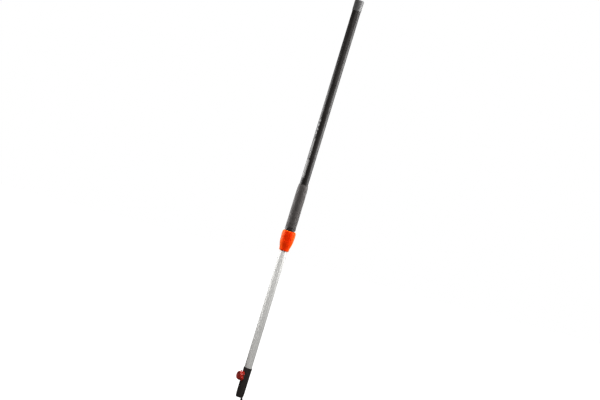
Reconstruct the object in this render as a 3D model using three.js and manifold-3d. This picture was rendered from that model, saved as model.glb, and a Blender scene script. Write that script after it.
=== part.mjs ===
// Telescopic handle for garden tool heads.
// Units are millimetres. +Z runs along the pole from the tool socket to the end cap, and the
// origin is on the pole's axis in the middle of the hand grip. The clamp knob points to -X and
// the safety catch is on the +X side of the tool head.
import * as THREE from 'three';
import { mergeVertices } from 'three/addons/utils/BufferGeometryUtils.js';
import Module from 'manifold-3d';

const wasm = await Module();
wasm.setup();

// ---- driving dimensions ----
const GAP = 0.3; // clearance between pieces that lie against each other
const WALL = 1; // wall of both aluminium tubes
const ROUND = 36; // facets of the large round pieces
const SMALL_ROUND = 20; // facets of pins and screws

const OUTER_TUBE_R = 13;
const INNER_TUBE_R = 11.5;
const HEAD_BOTTOM = -600;
const CAP_TOP = 646;
const CAP_R = 14;
const CAP_LENGTH = 34;
const CAP_ROOF = 6;
const GRIP_BOTTOM = -66;
const GRIP_TOP = 68;
const GRIP_R = 16.4;
const COLLAR_BOTTOM = -139;
const COLLAR_TOP = -77;
const HEAD_RIM = -506;
const INNER_TUBE_TOP = 240;

const GROOVE_ANGLE = 251; // degrees from +X round to the inner tube's groove
const GROOVE_WIDTH = 4;
const GROOVE_DEPTH = 1.2;

const FLUTE_COUNT = 5;
const FLUTE_ANGLE = 232; // direction of the first finger flute
const FLUTE_WIDTH = 16;
const FLUTE_BOTTOM = -109;

const KNOB_Z = -535; // height of the clamp screw's axis
const CATCH_X = 9.6; // catch axle
const CATCH_Z = -575;

const OUTER_TUBE_BORE = OUTER_TUBE_R - WALL;
const SLIDE_BORE = INNER_TUBE_R + 0.4; // bores that the inner tube slides through
const radians = THREE.MathUtils.degToRad;

// ---- geometry helpers ----

// A solid of revolution about Z. The profile is a list of [radius, height] points that runs
// anticlockwise, and a ring's profile closes on its first point.
function turned(profile, segments = ROUND) {
  const points = profile.map(([radius, height]) => new THREE.Vector2(radius, height));
  return new THREE.LatheGeometry(points, segments).rotateX(Math.PI / 2);
}

function closed(profile) {
  return turned([...profile, profile[0]]);
}

function ring(innerRadius, outerRadius, bottom, top, segments = ROUND) {
  const corners = [[innerRadius, bottom], [outerRadius, bottom], [outerRadius, top], [innerRadius, top]];
  return turned([...corners, corners[0]], segments);
}

// A solid cylinder along Z between two heights.
function rod(radius, bottom, top, segments = SMALL_ROUND) {
  return turned([[0, bottom], [radius, bottom], [radius, top], [0, top]], segments);
}

// A box given by its lowest and highest corners.
function block(low, high) {
  const size = high.map((value, i) => value - low[i]);
  const centre = high.map((value, i) => (value + low[i]) / 2);
  return new THREE.BoxGeometry(...size).translate(...centre);
}

// Turns a shape made along +Z so that it points outward from the axis at an angle and height.
function radial(geometry, angle, height) {
  return geometry.rotateY(Math.PI / 2).rotateZ(radians(angle)).translate(0, 0, height);
}

function solid(geometry) {
  const bare = geometry.clone();
  bare.deleteAttribute('normal');
  bare.deleteAttribute('uv');
  const merged = mergeVertices(bare, 1e-4);
  return new wasm.Manifold(new wasm.Mesh({
    numProp: 3,
    vertProperties: new Float32Array(merged.attributes.position.array),
    triVerts: new Uint32Array(merged.index.array),
  }));
}

function surface(manifold) {
  const mesh = manifold.getMesh();
  const geometry = new THREE.BufferGeometry();
  geometry.setAttribute('position', new THREE.BufferAttribute(new Float32Array(mesh.vertProperties), 3));
  geometry.setIndex(new THREE.BufferAttribute(new Uint32Array(mesh.triVerts), 1));
  geometry.computeVertexNormals();
  return geometry;
}

const joined = (first, ...rest) => rest.reduce((body, piece) => body.add(solid(piece)), first);
const carved = (first, ...tools) => tools.reduce((body, tool) => body.subtract(solid(tool)), first);

// ---- finishes ----
const finish = (color, roughness, metalness = 0) => () =>
  new THREE.MeshStandardMaterial({ color, roughness, metalness });
const blackTube = finish(0x1f1c1b, 0.42);
const silverTube = finish(0xc9cacb, 0.35, 1);
const greyRubber = finish(0x6b6866, 0.8);
const capPlastic = finish(0x4c4a4a, 0.5);
const blackPlastic = finish(0x1c1a19, 0.5);
const orangePlastic = finish(0xe03208, 0.35);
const redPlastic = finish(0xb01e14, 0.35);
const hiddenPlastic = finish(0xd8d4c8, 0.5);
const steel = finish(0xa9abad, 0.3, 1);
const brass = finish(0xb08d3f, 0.35, 1);
const blackRubber = finish(0x151515, 0.8);

const handle = new THREE.Group();

function place(name, geometry, material) {
  const mesh = new THREE.Mesh(geometry, material());
  mesh.name = name;
  handle.add(mesh);
}

// ---- handle: outer tube, end cap, grip and collet ----
const COLLET_STEP = -86; // shoulder in the collet body that the outer tube stands on
const COLLET_SKIRT_TOP = -36;
const COLLET_SKIRT_R = 14.9;
const COLLET_THREAD_R = 15;
const COLLET_FLANGE = [GRIP_BOTTOM - 8, GRIP_BOTTOM - GAP];
const STOP_PIN_Z = 35.2;
const STOP_PIN_R = 1.4;
const COLLET_RIVET_Z = -50;
const COLLET_RIVET_ANGLES = { left: GROOVE_ANGLE - 90, right: GROOVE_ANGLE + 90 };
const RIVET_R = 1.5;

function outerTube() {
  const tube = solid(ring(OUTER_TUBE_BORE, OUTER_TUBE_R, COLLET_STEP + GAP, CAP_TOP - CAP_ROOF - GAP));
  const stopHole = radial(rod(STOP_PIN_R + GAP, 11, 15), GROOVE_ANGLE, STOP_PIN_Z);
  const rivetHoles = Object.values(COLLET_RIVET_ANGLES)
    .map((angle) => radial(rod(RIVET_R + GAP, 11, 15), angle, COLLET_RIVET_Z));
  return surface(carved(tube, stopHole, ...rivetHoles));
}

function endCap() {
  const skirtBottom = CAP_TOP - CAP_LENGTH;
  const plugBottom = CAP_TOP - 42;
  const slotTop = CAP_TOP - CAP_ROOF;
  const slotRadius = OUTER_TUBE_R + GAP;
  return turned([
    [0, plugBottom], [10.6, plugBottom], [11.7, plugBottom + 1.5], [11.7, slotTop], [slotRadius, slotTop],
    [slotRadius, skirtBottom], [13.8, skirtBottom], [CAP_R, skirtBottom + 0.6], [CAP_R, CAP_TOP - 4.2],
    [13.5, CAP_TOP - 2.1], [12.2, CAP_TOP - 0.6], [10, CAP_TOP], [0, CAP_TOP],
  ]);
}

function handGrip() {
  const tubeBore = OUTER_TUBE_R + GAP;
  const skirtBore = COLLET_SKIRT_R + GAP;
  const pinPocket = 14.3;
  return closed([
    [skirtBore, GRIP_BOTTOM], [15.9, GRIP_BOTTOM], [GRIP_R, GRIP_BOTTOM + 2], [GRIP_R, GRIP_BOTTOM + 16],
    [16.1, GRIP_TOP - 38], [16, GRIP_TOP - 18], [15.5, GRIP_TOP - 9], [14.8, GRIP_TOP - 3.5],
    [13.9, GRIP_TOP], [tubeBore, GRIP_TOP], [tubeBore, STOP_PIN_Z + 4], [pinPocket, STOP_PIN_Z + 4],
    [pinPocket, STOP_PIN_Z - 4], [tubeBore, STOP_PIN_Z - 4], [tubeBore, COLLET_SKIRT_TOP + GAP],
    [skirtBore, COLLET_SKIRT_TOP + GAP],
  ]);
}

const FINGER_BOTTOM = -126;
const FINGER_ROOT = -104;
const FINGER_TIP_R = 12.9;
const FINGER_ROOT_R = 13.9;

function colletBody() {
  const [flangeBottom, flangeTop] = COLLET_FLANGE;
  const tubeBore = OUTER_TUBE_R + GAP;
  const body = solid(closed([
    [SLIDE_BORE, FINGER_BOTTOM], [FINGER_TIP_R, FINGER_BOTTOM], [FINGER_ROOT_R, FINGER_ROOT],
    [COLLET_THREAD_R, FINGER_ROOT], [COLLET_THREAD_R, flangeBottom], [16.1, flangeBottom],
    [16.6, flangeBottom + 0.8], [16.6, flangeTop], [COLLET_SKIRT_R, flangeTop],
    [COLLET_SKIRT_R, COLLET_SKIRT_TOP], [tubeBore, COLLET_SKIRT_TOP], [tubeBore, COLLET_STEP],
    [SLIDE_BORE, COLLET_STEP],
  ]));
  const key = block([10.7, -1.5, FINGER_ROOT + 3], [12.4, 1.5, COLLET_STEP - 2]);
  key.rotateZ(radians(GROOVE_ANGLE));
  const slits = [30, 90, 150].map((turn) => {
    const slit = block([-20, -1, FINGER_BOTTOM - 1], [20, 1, FINGER_ROOT + 1]);
    return slit.rotateZ(radians(GROOVE_ANGLE + turn));
  });
  const rivetHoles = Object.values(COLLET_RIVET_ANGLES)
    .map((angle) => radial(rod(RIVET_R + GAP, 11, 17), angle, COLLET_RIVET_Z));
  return surface(carved(joined(body, key), ...slits, ...rivetHoles));
}

function stopPin() {
  const head = OUTER_TUBE_R + GAP;
  const profile = [
    [0, 10.7], [STOP_PIN_R, 10.7], [STOP_PIN_R, head], [2.6, head], [2.2, head + 0.7], [0, head + 0.7],
  ];
  return radial(turned(profile, SMALL_ROUND), GROOVE_ANGLE, STOP_PIN_Z);
}

place('outer_tube', outerTube(), blackTube);
place('end_cap', endCap(), capPlastic);
place('hand_grip', handGrip(), greyRubber);
place('collet_body', colletBody(), blackPlastic);
place('stop_pin', stopPin(), steel);
for (const [side, angle] of Object.entries(COLLET_RIVET_ANGLES)) {
  place(`collet_rivet_${side}`, radial(rod(RIVET_R, 12.1, 14.8), angle, COLLET_RIVET_Z), steel);
}

// ---- twist collar with its wedge ring and seal ----
const COLLAR_THREAD_R = COLLET_THREAD_R + 0.35;
const COLLAR_SEAT = COLLAR_BOTTOM + 11; // shoulder that pushes the wedge ring up
const COLLAR_MOUTH_R = 12.3;
const SEAL_GROOVE_R = 14.1;
const SEAL_BOTTOM = COLLAR_BOTTOM + 2.7;
const SEAL_TOP = COLLAR_BOTTOM + 7.3;

function twistCollar() {
  const outline = [
    [14.6, 0], [15.1, 1.5], [15.4, 7], [16.1, 11], [17.4, 15.5], [18.9, 22], [20, 29], [20.7, 37],
    [21.2, 48], [21, 55], [19.8, 59], [17.7, 61.2], [16.2, 62],
  ].map(([radius, height]) => [radius, COLLAR_BOTTOM + height]);
  const shell = solid(closed([
    [COLLAR_MOUTH_R, COLLAR_BOTTOM], ...outline, [COLLAR_THREAD_R, COLLAR_TOP],
    [COLLAR_THREAD_R, COLLAR_SEAT], [COLLAR_MOUTH_R, COLLAR_SEAT], [COLLAR_MOUTH_R, SEAL_TOP + GAP],
    [SEAL_GROOVE_R, SEAL_TOP + GAP], [SEAL_GROOVE_R, SEAL_BOTTOM - GAP], [COLLAR_MOUTH_R, SEAL_BOTTOM - GAP],
  ]));
  const floor = solid(closed([[19, FLUTE_BOTTOM], [25, FLUTE_BOTTOM], [25, -70], [20.3, -70], [20.3, -90]]));
  const flutes = Array.from({ length: FLUTE_COUNT }, (_, i) => {
    const half = FLUTE_WIDTH / 2;
    const straight = block([10, -half, FLUTE_BOTTOM + half], [30, half, -60]);
    const roundEnd = rod(half, 10, 30, SMALL_ROUND).rotateY(Math.PI / 2).translate(0, 0, FLUTE_BOTTOM + half);
    const turn = radians(FLUTE_ANGLE + (360 / FLUTE_COUNT) * i);
    return solid(straight.rotateZ(turn)).add(solid(roundEnd.rotateZ(turn))).intersect(floor);
  });
  return surface(flutes.reduce((body, flute) => body.subtract(flute), shell));
}

function wedgeRing() {
  const top = FINGER_ROOT - 4;
  return closed([
    [FINGER_TIP_R + 2 * GAP, COLLAR_SEAT + GAP], [COLLET_THREAD_R, COLLAR_SEAT + GAP],
    [COLLET_THREAD_R, top], [FINGER_ROOT_R + GAP, top],
  ]);
}

place('wedge_ring', wedgeRing(), hiddenPlastic);
place('twist_collar', twistCollar(), orangePlastic);
place('wiper_seal', ring(SLIDE_BORE - 0.05, SEAL_GROOVE_R - GAP, SEAL_BOTTOM, SEAL_TOP), blackRubber);

// ---- sliding pole: inner tube with its guide bush ----
const TUBE_SEAT = HEAD_RIM - 21; // floor of the slot in the head that the inner tube stands on
const INNER_TUBE_BOTTOM = TUBE_SEAT + GAP;
const BUSH_PIN_Z = INNER_TUBE_TOP - 10;
const BUSH_PIN_R = 1.4;
const HEAD_RIVET_Z = HEAD_RIM - 10;
const HEAD_RIVET_ANGLE = 90; // the rivet is on the +Y side
const SPIGOT_R = 9; // plugs that fit inside the inner tube, clear of its groove wall
const BUSH_R = 11.6;

function innerTube() {
  const bore = INNER_TUBE_R - WALL;
  const grooveFloor = INNER_TUBE_R - GROOVE_DEPTH;
  const grooveWall = block(
    [grooveFloor - WALL, -GROOVE_WIDTH / 2 - WALL, INNER_TUBE_BOTTOM],
    [grooveFloor + 0.5, GROOVE_WIDTH / 2 + WALL, INNER_TUBE_TOP],
  );
  const groove = block(
    [grooveFloor, -GROOVE_WIDTH / 2, INNER_TUBE_BOTTOM - 1],
    [INNER_TUBE_R + 1, GROOVE_WIDTH / 2, INNER_TUBE_TOP + 1],
  );
  const tube = joined(solid(ring(bore, INNER_TUBE_R, INNER_TUBE_BOTTOM, INNER_TUBE_TOP)),
    grooveWall.rotateZ(radians(GROOVE_ANGLE)));
  const rivetHole = radial(rod(RIVET_R + GAP, 5, 15), HEAD_RIVET_ANGLE, HEAD_RIVET_Z);
  groove.rotateZ(radians(GROOVE_ANGLE));
  return surface(carved(tube, groove, crossPin(BUSH_PIN_R + GAP, 15), rivetHole));
}

const BUSH_BOTTOM = INNER_TUBE_TOP + GAP;
const BUSH_TOP = INNER_TUBE_TOP + 14;
const RING_BOTTOM = BUSH_TOP - 8.7;
const RING_TOP = BUSH_TOP - 5.3;

// A pin along X through the top of the inner tube.
function crossPin(radius, halfLength) {
  return rod(radius, -halfLength, halfLength).rotateY(Math.PI / 2).translate(0, 0, BUSH_PIN_Z);
}

function guideBush() {
  const ringGroove = 10.2;
  const bush = solid(turned([
    [0, INNER_TUBE_TOP - 20], [SPIGOT_R, INNER_TUBE_TOP - 20], [SPIGOT_R, BUSH_BOTTOM], [BUSH_R, BUSH_BOTTOM],
    [BUSH_R, RING_BOTTOM - GAP], [ringGroove, RING_BOTTOM - GAP], [ringGroove, RING_TOP + GAP],
    [BUSH_R, RING_TOP + GAP], [BUSH_R, BUSH_TOP - 1], [10.6, BUSH_TOP], [0, BUSH_TOP],
  ]));
  return surface(carved(bush, crossPin(BUSH_PIN_R + GAP, 12)));
}

function guideRing() {
  const full = solid(ring(10.5, OUTER_TUBE_BORE - 0.15, RING_BOTTOM, RING_TOP));
  return surface(carved(full, block([0, -1, BUSH_TOP - 10], [15, 1, BUSH_TOP]).rotateZ(radians(45))));
}

place('inner_tube', innerTube(), silverTube);
place('guide_bush', guideBush(), hiddenPlastic);
place('guide_ring', guideRing(), hiddenPlastic);
place('bush_pin', crossPin(BUSH_PIN_R, INNER_TUBE_R - GAP), steel);

// ---- tool head: socket, clamp screw and safety catch ----
const SOCKET_R = 8;
const SOCKET_TOP = HEAD_BOTTOM + 70;
const SPIGOT_TOP = HEAD_RIM + 26;
const BOSS_R = 8;
const BOSS_FACE = -15;
const INSERT_R = 5.2;
const SCOOP_R = 35.3;
const SCOOP_Z = HEAD_BOTTOM + 59;
const SCOOP_FLOOR = 10.6; // distance of the thumb scoop's deepest line from the axis
const CATCH_SLOT = { low: [6, -3.8, HEAD_BOTTOM - 1], high: [11.3, 3.8, SOCKET_TOP + 1] };
const CATCH_PIN_R = 0.75;

// Turns a shape made along +Z into one that lies along X at the clamp screw's height.
const alongScrew = (geometry) => geometry.rotateY(Math.PI / 2).translate(0, 0, KNOB_Z);
const alongCatchAxle = (geometry) => geometry.rotateX(Math.PI / 2).translate(CATCH_X, 0, CATCH_Z);

function thumbScoop(inset) {
  return rod(SCOOP_R, -20, 20, 72).rotateX(Math.PI / 2).translate(SCOOP_FLOOR + SCOOP_R - inset, 0, SCOOP_Z);
}

function toolHead() {
  const tubeSocket = INNER_TUBE_R + GAP;
  const shell = solid(turned([
    [0, SOCKET_TOP], [SOCKET_R, SOCKET_TOP], [SOCKET_R, HEAD_BOTTOM], [9.9, HEAD_BOTTOM],
    [11.2, HEAD_BOTTOM + 1.8], [12.1, HEAD_BOTTOM + 7], [12.6, HEAD_BOTTOM + 14], [12.7, SOCKET_TOP],
    [12.9, HEAD_RIM - 7], [13.1, HEAD_RIM - 2], [12.9, HEAD_RIM], [tubeSocket, HEAD_RIM],
    [tubeSocket, TUBE_SEAT], [SPIGOT_R, TUBE_SEAT], [SPIGOT_R, SPIGOT_TOP - 2], [7.6, SPIGOT_TOP],
    [0, SPIGOT_TOP],
  ]));
  const boss = alongScrew(rod(BOSS_R, BOSS_FACE, -10, 32));
  return surface(carved(
    joined(shell, boss),
    rod(SOCKET_R, HEAD_BOTTOM - 1, SOCKET_TOP, ROUND),
    alongScrew(rod(INSERT_R + GAP, -20, -4, SMALL_ROUND)),
    thumbScoop(0),
    block(CATCH_SLOT.low, CATCH_SLOT.high),
    alongCatchAxle(rod(CATCH_PIN_R + GAP, -14, 14, 16)),
    radial(rod(RIVET_R + GAP, 6, 15), HEAD_RIVET_ANGLE, HEAD_RIVET_Z),
  ));
}

function headRivet() {
  const head = 13.3;
  const profile = [
    [0, 6.3], [RIVET_R, 6.3], [RIVET_R, head], [2.8, head], [2.3, head + 0.6], [0, head + 0.9],
  ];
  return radial(turned(profile, SMALL_ROUND), HEAD_RIVET_ANGLE, HEAD_RIVET_Z);
}

const SCREW_R = 3.9;
const PAD_FACE = -6.6;
const PAD_BACK = -10.4;
const STUD_END = -23;
const KNOB_FACE = -26.2;
const KNOB_BACK = -13.4;
const KNOB_R = 13;
const LOBE_R = 17.4; // the lobes flare out towards the head

function clampPad() {
  return alongScrew(turned([
    [0, PAD_BACK + 2.1], [2.3, PAD_BACK + 2.1], [2.3, PAD_BACK], [SCREW_R, PAD_BACK],
    [SCREW_R, PAD_FACE - 0.5], [SCREW_R - 0.5, PAD_FACE], [0, PAD_FACE],
  ], SMALL_ROUND));
}

function clampStud() {
  return alongScrew(turned([
    [0, STUD_END], [SCREW_R, STUD_END], [SCREW_R, PAD_BACK - GAP], [2, PAD_BACK - GAP],
    [2, PAD_BACK + 1.8], [0, PAD_BACK + 1.8],
  ], SMALL_ROUND));
}

function lockKnob() {
  const studBore = SCREW_R + GAP;
  const knob = solid(alongScrew(turned([
    [0, KNOB_FACE], [11.6, KNOB_FACE], [12.6, KNOB_FACE + 0.5], [KNOB_R, KNOB_FACE + 1.4],
    [KNOB_R, KNOB_FACE + 4.2], [13.6, KNOB_FACE + 6.4], [15.4, KNOB_FACE + 9.2], [LOBE_R, KNOB_BACK - 1.8],
    [LOBE_R - 0.2, KNOB_BACK - 0.5], [LOBE_R - 0.8, KNOB_BACK], [BOSS_R + 0.6, KNOB_BACK],
    [BOSS_R + 0.6, BOSS_FACE - 0.4], [studBore, BOSS_FACE - 0.4], [studBore, STUD_END - GAP],
    [0, STUD_END - GAP],
  ])));
  const notches = [0, 90, 180, 270].map((angle) => {
    const notch = rod(6, KNOB_FACE + 4.8, KNOB_BACK + 1, SMALL_ROUND).translate(17.2, 0, 0);
    return alongScrew(notch.rotateZ(radians(angle)));
  });
  return surface(carved(knob, ...notches));
}

function safetyCatch() {
  const half = 3.4; // half the lever's width
  const arm = solid(block([8.3, -half, HEAD_BOTTOM - 4], [9.8, half, SCOOP_Z + 5]));
  const pivotBoss = alongCatchAxle(rod(1.45, -half, half, 16));
  const padBlock = solid(block([8.3, -half, SCOOP_Z - 8], [11.2, half, SCOOP_Z + 8]));
  const thumbPad = carved(padBlock, thumbScoop(GAP));
  const nub = solid(block([7.8, -half, HEAD_BOTTOM - 8], [12.4, half, HEAD_BOTTOM - 1.3]));
  const roundedNub = nub.subtract(solid(block([-2, -5, -2], [2, 5, 2]).rotateY(radians(45))
    .translate(13.4, 0, HEAD_BOTTOM - 8.6)));
  const lever = joined(arm, pivotBoss).add(thumbPad).add(roundedNub);
  return surface(carved(lever, alongCatchAxle(rod(CATCH_PIN_R + GAP, -5, 5, 16))));
}

// An arched strip that bears on the lever in the middle and on the slot's outer wall at its ends.
function catchSpring() {
  const thickness = 0.35;
  const halfLength = 7;
  const rise = 0.55;
  const width = 5;
  const leverSide = 10.1;
  const arch = (offset) => Array.from({ length: 9 }, (_, i) => {
    const t = i / 4 - 1;
    return new THREE.Vector2(t * halfLength, rise * t * t + offset);
  });
  const outline = new THREE.Shape([...arch(0), ...arch(thickness).reverse()]);
  const strip = new THREE.ExtrudeGeometry(outline, { depth: width, bevelEnabled: false, steps: 1 });
  strip.translate(0, 0, -width / 2).rotateX(Math.PI / 2).rotateY(Math.PI / 2);
  return strip.translate(leverSide, 0, CATCH_Z - 15);
}

place('tool_head', toolHead(), blackPlastic);
place('head_rivet', headRivet(), steel);
place('threaded_insert', alongScrew(ring(SCREW_R + GAP, INSERT_R, -14.7, -8.2, SMALL_ROUND)), brass);
place('clamp_pad', clampPad(), hiddenPlastic);
place('clamp_stud', clampStud(), steel);
place('lock_knob', lockKnob(), redPlastic);
place('safety_catch', safetyCatch(), blackPlastic);
place('catch_pin', alongCatchAxle(rod(CATCH_PIN_R, -6.9, 6.9, 16)), steel);
place('catch_spring', catchSpring(), steel);

export default handle;
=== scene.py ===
"""Telescopic handle for garden tool heads: the looks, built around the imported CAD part.

Lengths are millimetres in the part's own frame: +Z runs up the pole, the clamp knob is on the -X
side and the safety catch on the +X side. Blender's own objects are in metres.
"""
from math import atan2, ceil, cos, hypot, pi, radians, sin, sqrt

import bpy
from mathutils import Matrix, Vector


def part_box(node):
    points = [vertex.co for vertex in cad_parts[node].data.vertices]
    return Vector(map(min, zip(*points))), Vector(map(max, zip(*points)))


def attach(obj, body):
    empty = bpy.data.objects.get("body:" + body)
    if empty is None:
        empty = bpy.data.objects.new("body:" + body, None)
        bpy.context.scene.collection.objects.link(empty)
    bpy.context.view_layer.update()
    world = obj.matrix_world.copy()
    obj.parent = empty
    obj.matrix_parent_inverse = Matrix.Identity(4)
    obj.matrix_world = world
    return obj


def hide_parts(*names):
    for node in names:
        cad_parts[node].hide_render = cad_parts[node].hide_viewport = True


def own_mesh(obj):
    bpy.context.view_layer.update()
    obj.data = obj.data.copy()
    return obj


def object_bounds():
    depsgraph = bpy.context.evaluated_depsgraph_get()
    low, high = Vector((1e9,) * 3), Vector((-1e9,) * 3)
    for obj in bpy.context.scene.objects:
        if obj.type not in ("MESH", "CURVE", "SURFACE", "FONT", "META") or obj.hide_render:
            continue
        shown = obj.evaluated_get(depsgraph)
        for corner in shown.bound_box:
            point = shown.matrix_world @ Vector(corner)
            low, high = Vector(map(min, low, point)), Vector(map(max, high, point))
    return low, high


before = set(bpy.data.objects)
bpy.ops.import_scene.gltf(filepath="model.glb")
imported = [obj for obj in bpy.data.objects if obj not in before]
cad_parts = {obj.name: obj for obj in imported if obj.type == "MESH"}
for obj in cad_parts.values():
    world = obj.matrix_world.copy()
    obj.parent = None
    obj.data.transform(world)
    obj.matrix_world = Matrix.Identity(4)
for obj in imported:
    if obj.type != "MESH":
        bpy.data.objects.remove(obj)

cad_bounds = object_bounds()

MM = 0.001
GAP = 0.3  # clearance between pieces that lie against each other
WALL = 1.0  # wall of both aluminium tubes
TURN = 2 * pi


# ---- places and sizes from the frame ----

class Node:
    """The box of a CAD node, in millimetres, and what follows from it."""

    def __init__(self, name):
        self.name = name
        low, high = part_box(name)
        self.low = low / MM
        self.high = high / MM
        self.bottom = self.low.z
        self.top = self.high.z
        self.radius = self.high.y
        self.middle = (self.low + self.high) / 2
        self.angle = atan2(self.middle.y, self.middle.x)

    def outward(self):
        """The placement that makes +Z point out from the pole, through the node."""
        return pointing(self.angle, self.middle.z)


outer_tube = Node("outer_tube")
end_cap = Node("end_cap")
hand_grip = Node("hand_grip")
collet = Node("collet_body")
stop_pin = Node("stop_pin")
collet_rivets = [Node("collet_rivet_left"), Node("collet_rivet_right")]
wedge = Node("wedge_ring")
collar = Node("twist_collar")
seal = Node("wiper_seal")
inner_tube = Node("inner_tube")
guide_bush = Node("guide_bush")
guide_ring = Node("guide_ring")
bush_pin = Node("bush_pin")
head = Node("tool_head")
head_rivet = Node("head_rivet")
insert = Node("threaded_insert")
pad = Node("clamp_pad")
stud = Node("clamp_stud")
knob = Node("lock_knob")
catch = Node("safety_catch")
catch_pin = Node("catch_pin")
catch_spring = Node("catch_spring")

OUTER_R = outer_tube.radius
INNER_R = inner_tube.radius
TUBE_BORE = OUTER_R - WALL
SLIDE_BORE = INNER_R + 0.4
GROOVE_ANGLE = stop_pin.angle
PIN_R = 1.4  # stop pin and bush pin
RIVET_R = 1.5
AXLE_R = 0.75  # axle of the catch
SCREW_R = stud.radius
SCREW_LEAD = 1.25
NOSE_R = 2.0  # of the screw, in the clamp pad


# ---- outlines and shapes ----

def ease(value, start, end):
    """0 before start, 1 after end, and a smooth rise between them."""
    share = min(1.0, max(0.0, (value - start) / (end - start)))
    return share * share * (3 - 2 * share)


def wave(phase):
    """1 where the phase is a whole number of turns, 0 half a turn on, and smooth between them."""
    return 0.5 + 0.5 * cos(phase)


def away_from(angle, centre):
    """The signed angle from centre to angle, between minus and plus half a turn."""
    return (angle - centre + pi) % TURN - pi


def rounded(corners, steps=4):
    """The points of an outline in which a corner with a third value is rounded off by that length."""
    points = []
    for i, (x, y, *fillet) in enumerate(corners):
        corner = Vector((x, y))
        if not fillet:
            points.append(corner)
            continue
        before = Vector(corners[i - 1][:2]) - corner
        after = Vector(corners[(i + 1) % len(corners)][:2]) - corner
        start = corner + before.normalized() * fillet[0]
        end = corner + after.normalized() * fillet[0]
        for step in range(steps + 1):
            share = step / steps
            points.append(start.lerp(corner, share).lerp(corner.lerp(end, share), share))
    return points


def curve_through(points, steps=6):
    """A smooth line through the points, for a moulded profile."""
    ends = [2 * points[0] - points[1], *points, 2 * points[-1] - points[-2]]
    line = []
    for a, b, c, d in zip(ends, ends[1:], ends[2:], ends[3:]):
        for step in range(steps):
            t = step / steps
            line.append(0.5 * (2 * b + (c - a) * t + (2 * a - 5 * b + 4 * c - d) * t ** 2
                               + (3 * b - a - 3 * c + d) * t ** 3))
    return [*line, points[-1]]


def refined(points, spacing, closed=True):
    """The same outline with points added so that no step is longer than the spacing."""
    following = [*points[1:], points[0]] if closed else points[1:]
    fine = []
    for here, there in zip(points, following):
        count = max(1, ceil((there - here).length / spacing))
        fine += [here.lerp(there, i / count) for i in range(count)]
    return fine if closed else [*fine, points[-1]]


def even_angles(count):
    return [TURN * i / count for i in range(count)]


def added(name, data):
    """A new object in the scene, made of the mesh, light or camera."""
    made = bpy.data.objects.new(name, data)
    bpy.context.scene.collection.objects.link(made)
    return made


def mesh_object(name, vertices, faces, placement=Matrix()):
    """A new object from vertices in millimetres, set in place by the matrix."""
    mesh = bpy.data.meshes.new(name)
    mesh.from_pydata([placement @ Vector(v) * MM for v in vertices], [], faces)
    mesh.update()
    return added(name, mesh)


def lathe(name, outline, angles=96, shape=None, placement=Matrix()):
    """A solid turned about Z from an anticlockwise outline of (radius, height) points.

    An outline that starts and ends on the axis is a full solid, and any other closes on its first
    point. shape moves each point: it takes radius, height and angle, and gives radius and height.
    """
    angles = even_angles(angles) if isinstance(angles, int) else angles
    on_axis = [abs(point[0]) < 1e-6 for point in outline]
    vertices, rows = [], []
    for (radius, height), is_pole in zip(outline, on_axis):
        rows.append(len(vertices))
        for angle in angles[:1] if is_pole else angles:
            r, z = shape(radius, height, angle) if shape else (radius, height)
            vertices.append((r * cos(angle), r * sin(angle), z))
    faces = []
    last = len(outline) - 1 if on_axis[0] and on_axis[-1] else len(outline)
    for row in range(last):
        nxt = (row + 1) % len(outline)
        for i in range(len(angles)):
            j = (i + 1) % len(angles)
            low = [rows[row]] if on_axis[row] else [rows[row] + i, rows[row] + j]
            high = [rows[nxt]] if on_axis[nxt] else [rows[nxt] + j, rows[nxt] + i]
            faces.append([*low, *high])
    return mesh_object(name, vertices, faces, placement)


def extruded(name, outline, half_width, placement=Matrix()):
    """A solid with the outline in the XZ plane, anticlockwise as seen from -Y, across the Y axis."""
    count = len(outline)
    vertices = [(x, side * half_width, z) for side in (-1, 1) for x, z in outline]
    faces = [list(range(count)), list(range(2 * count - 1, count - 1, -1))]
    faces += [[(i + 1) % count, i, i + count, (i + 1) % count + count] for i in range(count)]
    return mesh_object(name, vertices, faces, placement)


def block(low, high, placement=Matrix()):
    """A box between two corners, used only as a cutting or joining tool."""
    outline = [(low[0], low[2]), (high[0], low[2]), (high[0], high[2]), (low[0], high[2])]
    middle = Matrix.Translation((0, (low[1] + high[1]) / 2, 0))
    return extruded("tool", outline, (high[1] - low[1]) / 2, placement @ middle)


def rod(radius, low, high, placement=Matrix(), segments=32):
    """A cylinder used only as a cutting or joining tool."""
    return lathe("tool", [(0, low), (radius, low), (radius, high), (0, high)], segments,
                 placement=placement)


def bake_modifiers(piece):
    """Replaces the mesh of a piece with what its modifiers make of it."""
    bpy.context.view_layer.update()
    evaluated = piece.evaluated_get(bpy.context.evaluated_depsgraph_get())
    plain = piece.data
    piece.data = bpy.data.meshes.new_from_object(evaluated)
    piece.modifiers.clear()
    bpy.data.meshes.remove(plain)


def combine(piece, tools, operation):
    for tool in tools:
        modifier = piece.modifiers.new("combine", "BOOLEAN")
        modifier.object = tool
        modifier.operation = operation
        modifier.solver = "MANIFOLD"
    bake_modifiers(piece)
    for tool in tools:
        bpy.data.objects.remove(tool)
    return piece


def carved(piece, *tools):
    return combine(piece, tools, "DIFFERENCE")


def joined(piece, *tools):
    return combine(piece, tools, "UNION")


def bevelled(piece, width):
    """Rounds the sharp edges of a piece."""
    modifier = piece.modifiers.new("edges", "BEVEL")
    modifier.width = width * MM
    modifier.segments = 2
    modifier.limit_method = "ANGLE"
    modifier.angle_limit = radians(35)
    bake_modifiers(piece)
    return piece


def moulded(piece, voxel, passes):
    """Rebuilds a piece as one even skin with softened edges, as a moulded part has."""
    remesh = piece.modifiers.new("skin", "REMESH")
    remesh.mode = "VOXEL"
    remesh.voxel_size = voxel * MM
    smooth = piece.modifiers.new("soften", "SMOOTH")
    smooth.factor = 0.5
    smooth.iterations = passes
    bake_modifiers(piece)
    return piece


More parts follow.
